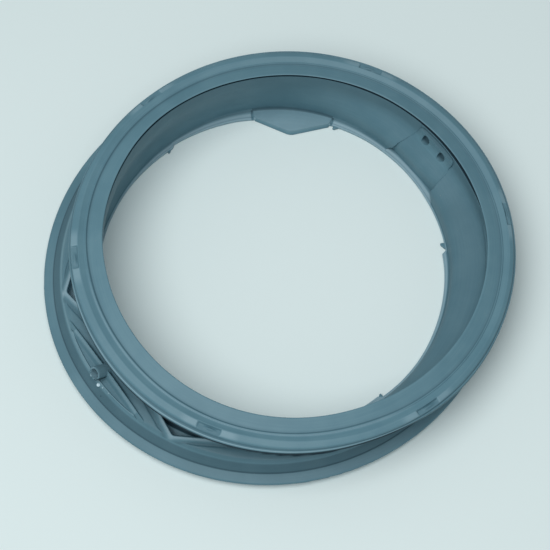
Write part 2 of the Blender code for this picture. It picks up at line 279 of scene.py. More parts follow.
CROWN_OUT_CREEP = around((
    (-180, 1.8), (-165, 1.2), (-150, 0.6), (-120, 0.3), (-100, 0.3), (-75, 0.4), (-60, 1.2),
    (-40, 2.0), (-20, 2.0), (0, 2.0), (20, 1.6), (45, 0.5), (70, 0.1), (95, 0.1), (120, 0.2),
    (140, 0.7), (160, 1.3)
))
EDGE_CREEP = around((
    (-180, 0.4), (-165, 0.5), (-142, 0.8), (-120, 1.3), (-100, 0.7), (-80, -0.5), (-70, -1.1),
    (-60, -0.7), (-50, 0.6), (-40, 1.2), (-25, 0.9), (-5, 1.1), (10, 1.1), (25, 0.8), (45, 0.3),
    (70, 0.3), (95, 0.1), (120, -0.2), (135, -0.3), (157, 0.2)
))
WALL_CREEP = around((
    (-180, -0.4), (-150, -1.0), (-120, -0.2), (-90, 0.0), (-60, 1.2), (-30, 3.8), (-5, 4.8), (8, 4.4),
    (20, 1.8), (30, 0.85), (50, 0.35), (70, 0.2), (90, 0.0), (107, 0.3), (120, 1.0), (135, 1.5),
    (145, 1.25), (155, 0.3), (168, -0.4)
))

# How far out the painted shade in the fold reaches: (degrees, millimetres). It is kept with the mesh, so it
# stays in its place from every side
FOLD_SHADE = around((
    (-180, 150), (-170, 156), (-165, 158.9), (-157, 158.1), (-150, 157.5), (-141, 157.2),
    (-134, 157.7), (-127, 158.9), (-120, 160.5), (-113, 160.9), (-106, 161.4), (-99, 162.7),
    (-92, 164.7), (-86, 166.7), (-79, 168.7), (-70, 169.6), (-60, 160), (-50, 150), (60, 150)
))


def ring_creep(angle, r):
    """How far out a point of the door-side ring has crept."""
    spots = ((149.9, LIP_CREEP), (161.0, CREASE_CREEP), (167.6, CROWN_IN_CREEP),
             (172.8, CROWN_OUT_CREEP), (176.0, EDGE_CREEP))
    for (r0, low), (r1, high) in zip(spots, spots[1:]):
        if r < r1 * MM or r1 == 176.0:
            t = clamp((r / MM - r0) / (r1 - r0))
            return low(angle) + (high(angle) - low(angle)) * t
    return 0.0


def wavy(angle, seed, turns=3.0):
    """Slow unevenness around the ring, without a seam."""
    return noise.noise(Vector((turns * cos(angle), turns * sin(angle), seed)))


def leant(co, s):
    """Blend from where the tub side lies to the shifted and tilted door side."""
    t = clamp((co.z - s.lean_from) / (s.lean_to - s.lean_from))
    w = t * t * (3 - 2 * t)
    rise = co.z - FRONT_EDGE_Z * MM
    x = s.lean_shift + co.x * cos(s.lean_tilt) + rise * sin(s.lean_tilt)
    z = FRONT_EDGE_Z * MM - co.x * sin(s.lean_tilt) + rise * cos(s.lean_tilt)
    return co.lerp(Vector((x, co.y, z)), w) - Vector((s.set_back, 0, 0))


def verts_of(result):
    """The vertices among what a bmesh operator made."""
    return [part for part in result["geom"] if isinstance(part, bmesh.types.BMVert)]


def rounded(bm, geom, offset, segments, affect='EDGES'):
    """Rounds edges or corners, starting an offset in millimetres before them."""
    bmesh.ops.bevel(bm, geom=geom, offset=offset * MM, offset_type='OFFSET', segments=segments,
                    profile=0.5, affect=affect, material=-1, clamp_overlap=True)


def placed(name, bm):
    """A new object in the scene with the bmesh as its mesh."""
    mesh = bpy.data.meshes.new(name)
    bm.to_mesh(mesh)
    bm.free()
    obj = bpy.data.objects.new(name, mesh)
    bpy.context.scene.collection.objects.link(obj)
    return obj


def outline(bm, corners, longest):
    """Closed section in the XZ plane from (radius, height, rounding) in millimetres.

    Each corner is rounded, starting that far before it, and runs longer than a length are cut up."""
    loop = [bm.verts.new((r * MM, 0, z * MM)) for r, z, _ in corners]
    edges = [bm.edges.new((a, b)) for a, b in zip(loop, loop[1:] + loop[:1])]
    for vert, (_, _, rounding) in zip(loop, corners):
        if rounding:
            rounded(bm, [vert], rounding, 3 if rounding > 0.35 else 2, 'VERTICES')
    for edge in bm.edges[:]:
        cuts = int(edge.calc_length() / (longest * MM))
        if cuts:
            bmesh.ops.subdivide_edges(bm, edges=[edge], cuts=cuts)


def turned(corners, steps, longest):
    """The section turned right round, as equal sectors that are merged."""
    bm = bmesh.new()
    outline(bm, corners, longest)
    bmesh.ops.spin(bm, geom=bm.verts[:] + bm.edges[:], cent=(0, 0, 0), axis=(0, 0, 1),
                   angle=2 * pi / SECTORS, steps=steps // SECTORS)
    first = bm.verts[:] + bm.edges[:] + bm.faces[:]
    for k in range(1, SECTORS):
        copied = bmesh.ops.duplicate(bm, geom=first)
        bmesh.ops.rotate(bm, verts=verts_of(copied), cent=(0, 0, 0),
                         matrix=Matrix.Rotation(2 * pi * k / SECTORS, 3, 'Z'))
    bmesh.ops.remove_doubles(bm, verts=bm.verts[:], dist=0.002 * MM)
    return bm


def finer(bm, inside):
    """Cuts up the faces whose middle passes a test of (angle, radius, height)."""
    picked = set()
    for face in bm.faces:
        mid = face.calc_center_median()
        if inside(atan2(mid.y, mid.x), hypot(mid.x, mid.y), mid.z):
            picked.update(face.edges)
    bmesh.ops.subdivide_edges(bm, edges=list(picked), cuts=2, use_grid_fill=True)


def reshape(bm, shift):
    """Moves each point by what shift(angle, radius, height) says of its radius and height."""
    for vert in bm.verts:
        angle, r = atan2(vert.co.y, vert.co.x), hypot(vert.co.x, vert.co.y)
        out, up = shift(angle, r, vert.co.z)
        vert.co += Vector((out * cos(angle), out * sin(angle), up))


def toned(bm, value):
    """Notes how pale (up to 1) or dark (down to -1) the rubber is painted at each (angle, radius, height),
    mostly as painted shade and painted highlight.
    """
    tone = bm.verts.layers.float.new(PAINTED_LIGHT_TONE)
    for vert in bm.verts:
        vert[tone] = value(atan2(vert.co.y, vert.co.x), hypot(vert.co.x, vert.co.y), vert.co.z)


def finish_piece(name, bm, sharp=50, rigid=False):
    """Leans a straight piece unless it stays rigid, and hands it to the frame.

    Edges that turn by more than sharp, in degrees, are shaded as edges."""
    s = bpy.context.scene.gasket_sizes
    bmesh.ops.recalc_face_normals(bm, faces=bm.faces[:])
    lay = bm.verts.layers.float_vector.new(LAY)
    for vert in bm.verts:
        vert[lay] = vert.co
        vert.co = vert.co - Vector((s.set_back, 0, 0)) if rigid else leant(vert.co, s)
    obj = placed(name, bm)
    obj.data.shade_smooth()
    obj.data.set_sharp_from_angle(angle=radians(sharp))
    obj.data.materials.append(bpy.data.materials.get(MATERIAL) or moulded_rubber())
    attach(obj, BODY)
    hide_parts(NODE)


def local(angle, out, along):
    """Plan point at a distance outwards along a direction and sideways from it."""
    return Vector((out * cos(angle) - along * sin(angle), out * sin(angle) + along * cos(angle), 0))


class Signal:
    """Output of a shader node, used in sums like a number or a vector."""

    def __init__(self, tree, socket):
        self.tree, self.socket = tree, socket

    def node(self, kind, inputs=None, output=0, **settings):
        """Adds any other node and gives one of its outputs."""
        made = self.tree.nodes.new(kind)
        for key, value in settings.items():
            setattr(made, key, value)
        for key, value in (inputs or {}).items():
            self.feed(made.inputs[key], value)
        return Signal(self.tree, made.outputs[output])

    def feed(self, socket, value):
        if isinstance(value, Signal):
            self.tree.links.new(value.socket, socket)
        else:
            socket.default_value = value

    def math(self, operation, other=0.0, swap=False):
        first, second = (other, self) if swap else (self, other)
        return self.node("ShaderNodeMath", {0: first, 1: second}, operation=operation)

    def __add__(self, other):
        return self.math('ADD', other)

    __radd__ = __add__

    def __sub__(self, other):
        return self.math('SUBTRACT', other)

    def __rsub__(self, other):
        return self.math('SUBTRACT', other, swap=True)

    def __mul__(self, other):
        return self.math('MULTIPLY', other)

    __rmul__ = __mul__

    def between(self, low, high):
        """0 below one value and 1 above another, with a smooth change."""
        return self.node("ShaderNodeMapRange", {"Value": self, "From Min": low, "From Max": high},
                         interpolation_type='SMOOTHSTEP')

    def part(self, axis):
        return self.node("ShaderNodeSeparateXYZ", {0: self}, output=axis)

    def blend(self, low, high):
        """This signal as the share between two colours, on the Mix node's colour sockets."""
        return self.node("ShaderNodeMix", {0: self, 6: low, 7: high}, output=2, data_type='RGBA')

    def grainy(self, scale, detail, rough):
        """Noise on this vector, with so many grains to the metre."""
        return self.node("ShaderNodeTexNoise", {"Vector": self, "Scale": scale, "Detail": detail,
                                                "Roughness": rough})


def rgba(colour):
    return (*colour, 1.0)


def moulded_rubber():
    """Matt rubber with a faint bloom, fine grain, drag lines around the ring and a few scuffs, and painted
    shade and painted highlight.
    """
    finish = bpy.context.scene.rubber_finish
    mat = bpy.data.materials.new(MATERIAL)
    mat.use_nodes = True
    tree = mat.node_tree
    bsdf = tree.nodes["Principled BSDF"]
    start = Signal(tree, None)
    place = start.node("ShaderNodeTexCoord", output="Object")
    lay = start.node("ShaderNodeAttribute", attribute_name=LAY, output="Vector")
    x, y, z = (lay.part(axis) for axis in "XYZ")
    radius = (x * x + y * y).math('SQRT')
    angle = y.math('ARCTAN2', x)

    # Drag lines run round the ring: the pattern is fine across it and long along it. The other patterns
    # have 14 to 2600 grains to the metre, from clouds of 70 mm down to a grain of 0.4 mm
    lengthwise = start.node("ShaderNodeCombineXYZ", {0: radius * 900.0, 1: z * 900.0, 2: angle * 2.0})
    drag = lengthwise.grainy(1.0, 3.0, 0.6)
    cloud = place.grainy(14.0, 4.0, 0.55)
    blotch = place.grainy(55.0, 3.0, 0.6)
    grain = place.grainy(2600.0, 2.0, 0.6)
    speck = place.grainy(900.0, 1.0, 0.5)

    bloom = (cloud * 0.5 + blotch * 0.35 + drag * 0.4).between(0.5, 0.8) * 0.5
    colour = bloom.blend(rgba(finish.base), rgba(finish.bloom))
    deep = (1.0 - cloud).between(0.45, 0.75) * 0.3
    colour = deep.blend(colour, rgba(finish.deep))
    marks = speck.between(0.70, 0.80) * blotch.between(0.50, 0.66) * 0.5
    colour = marks.blend(colour, rgba(finish.scuff))
    # Painted shade and painted highlight: the tone attribute blends towards a pale and a near-black colour,
    # and the painted shade is rougher
    tone = start.node("ShaderNodeAttribute", attribute_name=PAINTED_LIGHT_TONE, output="Fac")
    colour = tone.math('MAXIMUM', 0.0).blend(colour, PAINTED_HIGHLIGHT_PALEST)
    colour = (tone * -1.0).math('MAXIMUM', 0.0).blend(colour, PAINTED_SHADE_DARKEST)

    rough = finish.roughness + (cloud - 0.5) * 0.12 + (drag - 0.5) * 0.10 + marks * 0.2
    rough = rough + (tone * -0.6).math('MAXIMUM', 0.0)
    height = grain * finish.grain + drag * 0.30 + blotch * 0.25
    bump = start.node("ShaderNodeBump", {"Height": height, "Strength": 0.35, "Distance": 0.12 * MM})
    start.feed(bsdf.inputs["Base Color"], colour)
    start.feed(bsdf.inputs["Roughness"], rough)
    start.feed(bsdf.inputs["Normal"], bump)
    bsdf.inputs["Specular IOR Level"].default_value = 0.32
    return mat


class GASKET_OT_door_ring(bpy.types.Operator):
    """Door-side ring with its beads, crown, clamp groove and sealing lip"""
    bl_idname = "gasket.door_ring"
    bl_label = "Door-side ring"

    def execute(self, context):
        s = context.scene.gasket_sizes
        top = FRONT_EDGE_Z
        bm = turned([
            (154.9, 50.6, 0), (154.7, 42.6, 0), (155.5, 41.4, 0),
            (155.5, 43.0, 1.1), (170.3, 43.6, 0.8), (171.5, 45.0, 0.5), (167.6, 47.7, 0.8),
            (167.6, 49.2, 0.8), (174.9, 49.8, 0.5), (176.0, 50.8, 0.4),
            (176.0, top, 0.6), (175.2, top + 1.2, 0.45), (173.9, top + 0.8, 0.4),
            (172.8, top + 3.3, 0.8), (167.9, top + 5.0, 0.7), (166.9, top + 4.4, 0.3),
            (163.2, top + 2.9, 0.25), (162.8, top + 3.7, 0.3), (162.0, top + 3.7, 0.35),
            (161.0, top + 2.2, 0.5), (150.4, top + 6.0, 0.4), (149.6, top + 5.5, 0.2),
            (150.4, top + 5.1, 0.2), (156.4, top + 2.8, 0.3), (156.6, top + 1.2, 0.3),
        ], s.ring_steps, 1.6)
        half = s.notch_half
        floor = (top + 5.0) * MM - s.notch_depth

        def near(angle):
            """Signed angle to the nearest notch."""
            return min((turn_from(angle, radians(mid)) for mid in NOTCHES), key=abs)

        def in_detail(angle, r, z):
            return abs(near(angle)) < 1.35 * half and r > 167.0 * MM and z > (top + 0.6) * MM

        finer(bm, in_detail)

        def shift(angle, r, z):
            away = near(angle)
            cut = within(away, -half, half, radians(0.5)) * ramp(r, 168.4 * MM, 1.4 * MM)
            bump = 1.5 * MM * hump(away, 0.1 * half, 0.7 * half) * hump(r, 170.4 * MM, 1.7 * MM)
            up = -max(z - floor - bump, 0.0) * cut if z > (top + 0.9) * MM else 0.0
            out = ring_creep(angle, r) * ramp(z, 48.5 * MM, 4.5 * MM)
            return out + 0.12 * MM * wavy(angle, 3.0), up + 0.25 * MM * wavy(angle, 8.0)

        def tone(angle, r, z):
            rise = z / MM - top
            # Painted shade: the gutter behind the lip is nearly black
            if 150.3 * MM < r < 156.9 * MM and 0.9 < rise < 5.2 - (r / MM - 150.4) * 0.33:
                return -0.95
            # Painted shade and highlight: the creases are darker, and on the front side the ring is darker
            # under its edge, and its rim and crease are paler
            front_side = within(degrees(angle), -165, -58, 14)
            crease = -0.26 * hump(r, 161.3 * MM, 1.6 * MM) - 0.25 * hump(r, 173.9 * MM, 0.8 * MM)
            pale = 0.16 * hump(r, 163.0 * MM, 0.8 * MM) + 0.30 * hump(r, 175.2 * MM, 0.7 * MM)
            crease += front_side * pale
            # Painted shade under the ring, darker on the front side
            if rise < -0.1:
                return -0.25 - 0.65 * front_side
            # Painted shade in the notches and on the outer flank, and painted highlight on the crown beside
            # the notches
            beyond = abs(near(angle)) - half
            crown = within(r, 168.4 * MM, 173.0 * MM, 0.6 * MM)
            patch = 0.13 * (1 - ramp(beyond, radians(4.0), radians(3.0))) if beyond > 0 else -0.12
            return crease + crown * patch - 0.07 * ramp(r, 173.2 * MM, 0.8 * MM)

        toned(bm, tone)
        reshape(bm, shift)
        finish_piece("door_ring", bm)
        return {'FINISHED'}


def on_runs(x, points):
    """Value at x on the straight runs between (x, value) points."""
    for (x0, v0), (x1, v1) in zip(points, points[1:]):
        if x < x1:
            return v0 + (v1 - v0) * clamp((x - x0) / (x1 - x0))
    return points[-1][1]


def pad_sides(z):
    """How far to the side of its middle the pad's left and right edges lie at a height, in metres."""
    return on_runs(z / MM, PAD_LEFT) * MM, on_runs(z / MM, PAD_RIGHT) * MM


def pad_face(z):
    """Distance of the pad's face from the axis at a height, in metres."""
    return PAD_FACE_R * MM + (z - PAD_FACE_Z * MM) * PAD_FACE_SLOPE


class GASKET_OT_inner_wall(bpy.types.Operator):
    """Inner wall of the bellows with the tub-side lip at its foot"""
    bl_idname = "gasket.inner_wall"
    bl_label = "Inner wall and lip"

    def execute(self, context):
        s = context.scene.gasket_sizes
        bm = turned([
            (142.9, 0.0, 0.25), (157.0, 0.0, 0), (158.2, 3.5, 0), (158.6, 4.5, 0), (155.5, 6.0, 0),
            (155.5, 42.2, 0), (156.8, 50.5, 0), (156.8, 54.6, 0), (151.2, 55.2, 0.3), (150.7, 54.6, 0.3),
            (149.6, 4.9, 0.6), (148.2, 3.7, 0.6), (144.6, 2.7, 0.3), (144.0, 3.1, 0.3),
            (142.9, 2.9, 0.3), (142.5, 2.2, 0.3),
        ], s.wall_steps, 2.0)
        pad, tongue = s.pad_at, s.tongue_at

        def in_detail(angle, r, z):
            """Beside the pad's edges and the tongue's grooves."""
            to_pad, to_tongue = turn_from(angle, pad), abs(turn_from(angle, tongue))
            return r < 151.5 * MM and z > 2.3 * MM and (
                radians(7.2) < abs(to_pad) < radians(12) or radians(-14.9) < to_pad < radians(-11.9)
                or (radians(12) < to_tongue < radians(14.5) and z < 8 * MM))

        def from_groove(angle):
            """Angle to the nearer of the tongue's two grooves."""
            return abs(abs(turn_from(angle, tongue)) - radians(TONGUE_GROOVE))

        finer(bm, in_detail)
        foot = around((
            (-60, -2.2), (-40, -2.8), (-22, -3.4), (-8, -4.2), (5, -4.5), (15, -5.2), (25, -5.4),
            (38, -4.4), (49, -3.1), (57, -2.2), (65, -0.8), (73, 0.0), (83, 0.5), (90, 0.8), (98, 0.5),
            (107, -0.1), (115, -1.2), (123, -2.3), (132, -3.5), (140, -4.6), (148, -5.6), (160, -6.2),
            (185, -3.0), (215, -1.0), (260, -1.0)
        ))
        edge = around((
            (-50.9, 0.9), (-43, 1.4), (-35, 1.3), (-23, 0.5), (-10, -0.5), (0, -1.3), (5.5, -2.0),
            (6.6, 1.3), (15, 0.7), (25, 0.0), (47, 0.0), (57, 0.3), (69, 0.4), (97, -0.9), (103, 0.1),
            (115, 0.9), (126, 1.6), (127.2, -0.7), (148, -0.1), (162, -0.5), (175, -0.7), (186, -1.0),
            (187, 0.8), (220, 0.0), (246, -1.0), (247, 0.8), (280, 0.0), (308, -1.6)
        ), soft=False)

        def pad_cover(angle, r, z):
            """1 where the pad lies, and 1 where the wall is let back behind it, else 0."""
            if abs(turn_from(angle, pad)) > radians(20):
                return 0.0, 0.0
            along = r * sin(turn_from(angle, pad))
            left, right = pad_sides(z)
            behind = within(along, right + 0.9 * MM, left - 0.9 * MM, 1.0 * MM)
            return within(along, right, left, 1.0 * MM), behind * within(z, 4.3 * MM, 50.3 * MM, 1.2 * MM)

        def shift(angle, r, z):
            low = 1 - ramp(z, 26 * MM, 46 * MM)
            creep = WALL_CREEP(angle) * ramp(z, 32 * MM, 34 * MM)
            if r > 154.8 * MM or z < 0.6 * MM:
                return creep + (edge(angle) if r < 144 * MM else 0.0), 0.0
            share = clamp((r - LIP_EDGE_R * MM) / (7.1 * MM))
            on_pad, behind = pad_cover(angle, r, z)
            near_pad = within(turn_from(angle, pad), radians(-13), radians(13), radians(7))
            bow = 0.9 * MM * sin(pi * clamp(z / (55 * MM))) * (1 - 0.85 * near_pad) * share
            up = 0.0
            if z < 8 * MM:
                groove = hump(from_groove(angle), 0.0, radians(0.6))
                up -= 1.0 * MM * groove * (1 - ramp(r, 147.6 * MM, 1.2 * MM))
            lip = edge(angle) * (1 - share) * (1 - ramp(z, 5 * MM, 2 * MM))
            out = foot(angle) * share * low * (1 - on_pad) + lip + bow + creep
            return out + 3.9 * MM * behind + 0.2 * MM * wavy(angle, 5.0, 4.0), up

        def tone(angle, r, z):
            # Painted shade: the gutter behind the door lip is nearly black
            if r > 151.0 * MM and z > 54 * MM:
                return -0.95
            if z < 8 * MM:
                # Painted highlight on the lip, and painted shade in the crease at the wall's foot, under the
                # tongue and in its grooves
                band = 0.25 * (1 - ramp(r, 147.0 * MM, 1.0 * MM)) - 0.34 * hump(r, 148.6 * MM, 1.3 * MM)
                band -= 0.10 * ramp(r, 149.2 * MM, 0.5 * MM)
                if abs(turn_from(angle, tongue)) < radians(13.4):      # painted shade under the tongue's foot
                    band -= 0.35 * hump(z, 5.0 * MM, 2.0 * MM) * (r > 148.8 * MM)
                return band - 0.45 * hump(from_groove(angle), 0.0, radians(0.55)) * (r < 149.0 * MM)
            line = 0.0
            # Painted shade along the pad's edges and under the door lip
            if abs(turn_from(angle, pad)) < radians(14):
                along = r * sin(turn_from(angle, pad))
                edges = max(hump(along, side, 0.7 * MM) for side in pad_sides(z))
                line = 0.22 * edges * (1 - 0.7 * hump(z, 38 * MM, 9 * MM))
                line += 0.3 * hump(z, 52.4 * MM, 1.2 * MM) * within(along, -19 * MM, 20 * MM, 1 * MM)
            # Painted shade over the inner wall, darker on the right side and towards the top
            right = within(degrees(angle), -75, 22, 30)
            return -line - 0.10 - 0.12 * right - 0.10 * ramp(z, 40 * MM, 20 * MM)

        toned(bm, tone)
        reshape(bm, shift)
        finish_piece("inner_wall", bm)
        return {'FINISHED'}


class GASKET_OT_tub_flange(bpy.types.Operator):
    """Tub-side flange and shelf with the V pockets and the flat below the drain stub"""
    bl_idname = "gasket.tub_flange"
    bl_label = "Tub-side flange"

    def execute(self, context):
        s = context.scene.gasket_sizes
        bm = turned([
            (182.6, 0.0, 0.5), (186.0, 6.8, 0.7), (185.4, 8.2, 0.6), (178.1, 10.4, 0.5),
            (177.4, 10.2, 0.25), (177.0, 11.2, 0.3), (171.6, 17.2, 0.6), (169.8, 19.8, 1.0),
            (155.5, 21.8, 1.4), (155.5, 23.4, 0), (154.9, 23.4, 0), (154.9, 6.0, 0),
            (156.9, 4.2, 0), (158.2, 3.5, 0), (171.8, 3.5, 0.4), (173.0, 0.0, 0.3),
        ], s.flange_steps, 1.4)
        stub = radians(STUB_AT)
        step = (2 * pi - 2 * s.pocket_beside) / (POCKETS - 1)
        slants = [(31, 21)] + [(25, 25)] * (POCKETS - 2) + [(21, 31)]       # degrees, of a pocket's sides
        pockets = [(stub + s.pocket_beside + k * step, radians(before), radians(after))
                   for k, (before, after) in enumerate(slants)]

        def in_detail(a, r, z):
            if z < 10 * MM or r > 173 * MM or r < 155.2 * MM:
                return False
            if abs(turn_from(a, stub)) < radians(17.5):
                return r > 155.6 * MM
            return any(abs(turn_from(a, mid)) < radians(14.0) for mid, _, _ in pockets)

        finer(bm, in_detail)

        def pocket_depth(angle, r):
            """How far inside a pocket's outline a point lies, less than 0 outside it."""
            best = -1.0
            for mid, before, after in pockets:
                away = turn_from(angle, mid)
                if abs(away) > radians(20):
                    continue
                u, v = r * cos(away), r * sin(away)
                side_a = (s.pocket_apex - u + v * tan(before)) * cos(before)
                side_b = (s.pocket_apex - u - v * tan(after)) * cos(after)
                best = max(best, softer_min(side_a, side_b, 1.6 * MM))
            return best

        def shift(angle, r, z):
            out = up = 0.0
            if r > 184 * MM:
                flash = max(within(angle % (2 * pi), radians(277), radians(291), radians(3)),
                            within(angle % (2 * pi), radians(182), radians(188), radians(2)))
                out += 0.45 * MM * flash * wavy(angle, 1.0, 40)
            if z > 9 * MM:
                up += 0.2 * MM * wavy(angle, 12.0, 5.0)
            if z < 11 * MM or r > 173.5 * MM:
                return out, up
            depth = pocket_depth(angle, r)
            up += s.bead_rise * hump(depth, -1.4 * MM, 2.6 * MM) * ramp(r, 156.5 * MM, 2 * MM)
            up -= 0.8 * MM * hump(depth, -4.9 * MM, 1.8 * MM) * within(r, 158 * MM, 169 * MM, 2 * MM)
            drop = ramp(depth, 1.5 * MM, 2.2 * MM)
            up -= max(z - s.pocket_floor, 0.0) * drop
            away = turn_from(angle, stub)
            if abs(away) < radians(20) and r > 158 * MM:
                chord = r * cos(away)
                cleared = ramp(chord, s.flat_chord - 0.2 * MM, 3.2 * MM)
                up -= max(z - s.flat_z, 0.0) * cleared
                lens = ramp(r - chord, -1 * MM, 0.5 * MM) * ramp(170.9 * MM, chord + 0.3 * MM, 1.6 * MM)
                ridge = hump(chord, s.flat_chord - 1.6 * MM, 1.9 * MM) * ramp(171 * MM - r, 0.0, 1.5 * MM)
                up += 1.3 * MM * ridge * lens
                valley = within(away, radians(-10), radians(10), radians(6))
                up -= 2.0 * MM * hump(chord, 158.6 * MM, 4.2 * MM) * valley
                if chord > s.flat_chord:
                    up += 0.9 * MM * hump(r, 170.4 * MM, 1.2 * MM)
            return out, up

        def tone(angle, r, z):
            if z < 10 * MM:
                return -0.05
            on_left = within(angle % (2 * pi), radians(140), radians(222), radians(12))
            left_line = 0.16 * hump(r, 171.2 * MM, 0.7 * MM) * on_left
            if r > 171.4 * MM:
                # Painted shade on the steep slope and in the groove below it
                slope = 0.36 * (1 - ramp(r, 177.2 * MM, 0.8 * MM)) * ramp(r, 172.2 * MM, 1.0 * MM)
                groove = 0.6 * hump(r, 177.6 * MM, 0.8 * MM)
                return left_line - slope - groove - 0.06 * ramp(r, 178 * MM, 1 * MM)
            depth = pocket_depth(angle, r)
            # Painted highlight on the pocket beads and painted shade beside them
            bead = 0.36 * hump(depth, -1.8 * MM, 2.0 * MM) - 0.16 * hump(depth, -4.7 * MM, 1.4 * MM)
            shade = 1 - ramp(r, FOLD_SHADE(angle) - 1.8 * MM * (depth > 1.2 * MM), 0.8 * MM)
            # Painted shade deep in the fold, and painted light inside the pockets beyond it
            if depth > 1.0 * MM:
                return 0.18 * (1 - shade) - 0.85 * shade
            # Painted shade towards the fold
            fold = -0.16 * (1 - ramp(r, 162.5 * MM, 4 * MM)) - 0.08 + left_line
            chord = r * cos(turn_from(angle, stub))
            # Painted highlight on the flat's ridge and outer line, and painted shade in the valley inside it
            if abs(turn_from(angle, stub)) < radians(15.0):
                bead += 0.22 * hump(chord, s.flat_chord - 1.0 * MM, 1.3 * MM)
                bead -= 0.20 * hump(chord, s.flat_chord - 3.6 * MM, 1.8 * MM)
                if chord > s.flat_chord:
                    bead += 0.20 * hump(r, 170.4 * MM, 0.9 * MM)
            return clamp(bead + fold - shade, -0.85, 0.36)

        toned(bm, tone)
        reshape(bm, shift)
        finish_piece("tub_flange", bm)
        return {'FINISHED'}


def extruded(bm, points, z0, z1):
    """A closed prism on a plan outline, extruded from its foot; gives the vertices of its top."""
    base = bm.faces.new([bm.verts.new((p.x, p.y, z0)) for p in points])
    tops = verts_of(bmesh.ops.extrude_face_region(bm, geom=[base]))
    bmesh.ops.translate(bm, verts=tops, vec=(0, 0, z1 - z0))
    return tops


def arc(r, start, stop, steps):
    turns = [start + (stop - start) * k / steps for k in range(steps + 1)]
    return [Vector((r * cos(turn), r * sin(turn), 0)) for turn in turns]


class GASKET_OT_pull_tongue(bpy.types.Operator):
    """Pointed plate on the tub-side lip, for pulling it over the rim"""
    bl_idname = "gasket.pull_tongue"
    bl_label = "Pull tongue"

    def execute(self, context):
        s = context.scene.gasket_sizes
        at, half, shoulder, tip = s.tongue_at, radians(TONGUE_HALF), 141.4 * MM, s.tongue_tip
        # A rounded corner, in degrees in from the side and metres out from the shoulder
        corner = ((0.0, 3.4 * MM), (0.35, 1.6 * MM), (1.6, -0.1 * MM))
        points = arc(154.0 * MM, at - half, at + half, 24)
        points += [local(at + half - radians(turn), shoulder + out, 0) for turn, out in corner]
        points += [local(at, tip + back, along) for back, along in (
            (0.3 * MM, 2.6 * MM), (0.0, 0.0), (0.3 * MM, -2.6 * MM))]
        points += [local(at - half + radians(turn), shoulder + out, 0) for turn, out in corner[::-1]]
        bm = bmesh.new()
        tops = extruded(bm, points, 0.5 * MM, 3.9 * MM)
        for vert in bm.verts:
            r = vert.co.xy.length
            if vert not in tops and r < 147 * MM:
                vert.co.xy *= (r - 2.2 * MM) / r
        rounded(bm, [e for e in bm.edges if all(v in tops for v in e.verts)], 0.5, 3)
        # Painted highlight on the tongue's top and painted shade on its sides
        toned(bm, lambda a, r, z: 0.12 if z > 3.3 * MM else -0.05)
        finish_piece("pull_tongue", bm, 40)
        return {'FINISHED'}


class GASKET_OT_wall_pad(bpy.types.Operator):
    """Flat pad in the inner wall with two round recesses"""
    bl_idname = "gasket.wall_pad"
    bl_label = "Wall pad"

    def execute(self, context):
        s = context.scene.gasket_sizes
        at, foot_z = s.pad_at, PAD_FOOT_Z * MM

        def side(edge, table, outwards):
            """Outline points up one edge, which is set out a little below the waist at 38 mm."""
            heights = (PAD_FOOT_Z, *(z for z, _ in table[1:-1]), PAD_TOP_Z)
            return [(-pad_sides(z * MM)[edge] + outwards * (z < 38), z * MM) for z in heights]

        bm = bmesh.new()
        corners = side(1, PAD_RIGHT, 0.6 * MM) + side(0, PAD_LEFT, -0.6 * MM)[::-1]
        bm.faces.new([bm.verts.new((along, 0, z)) for along, z in corners])
        rounded(bm, [v for v in bm.verts if v.co.z > 50 * MM], 4.2, 6, 'VERTICES')
        back = verts_of(bmesh.ops.extrude_face_region(bm, geom=bm.faces[:]))
        fronts = [v for v in bm.verts if v not in back]
        for vert in fronts:
            vert.co.y = pad_face(vert.co.z)
        for vert in back:
            vert.co.y = 152.0 * MM + (vert.co.z - foot_z) * 0.02
        rounded(bm, [e for e in bm.edges if all(v in fronts for v in e.verts)], 0.6, 3)
        # Low strips, because a tall face would not follow the ring's lean
        for k in range(1, 20):
            bmesh.ops.bisect_plane(bm, geom=bm.verts[:] + bm.edges[:] + bm.faces[:], dist=0.001 * MM,
                                   plane_co=(0, 0, foot_z + k * 2.5 * MM), plane_no=(0, 0, 1))
        for vert in bm.verts:
            place = local(at, vert.co.y, -vert.co.x)
            vert.co = Vector((place.x, place.y, vert.co.z))
        pad = mesh_tool("wall_pad_blank", bm)
        drill = bmesh.new()
        deep_z = RECESS_Z * MM
        face_r = pad_face(deep_z)
        for along in RECESSES:
            a, b = local(at, face_r - 6 * MM, along * MM), local(at, face_r + RECESS_DEPTH * MM, along * MM)
            a.z = b.z = deep_z
            rod(drill, a, b, RECESS_R * MM, 40)
        for vert in drill.verts:
            vert.co.z = deep_z + (vert.co.z - deep_z) * RECESS_STRETCH
        bm = cut_from(pad, mesh_tool("recess_drill", drill))
        rims = []
        for edge in bm.edges:
            mid = 0.5 * (edge.verts[0].co + edge.verts[1].co)
            out = mid.x * cos(at) + mid.y * sin(at)
            flush = abs(out - pad_face(mid.z)) < 0.05 * MM
            if flush and edge.calc_length() < 0.8 * MM and edge.calc_face_angle(0) > radians(60):
                rims.append(edge)
        rounded(bm, rims, 0.4, 3)

        def tone(angle, r, z):
            # Painted shade: darker deep in the recesses, over the pad, and most under the door lip
            away = turn_from(angle, at)
            aside, rise = r * sin(away), (z - deep_z) / RECESS_STRETCH
            if min(hypot(aside - along * MM, rise) for along in RECESSES) < (RECESS_R + 0.3) * MM:
                return -0.55 * ramp(r * cos(away) - pad_face(z), 0.35 * MM, 0.5 * MM)
            return -0.08 - 0.3 * ramp(z, 51.2 * MM, 0.6 * MM)

        toned(bm, tone)
        finish_piece("wall_pad", bm, 40)
        return {'FINISHED'}


def mesh_tool(name, bm):
    """A closed mesh object that a boolean works on, with its faces pointing outwards."""
    bmesh.ops.recalc_face_normals(bm, faces=bm.faces[:])
    return placed(name, bm)


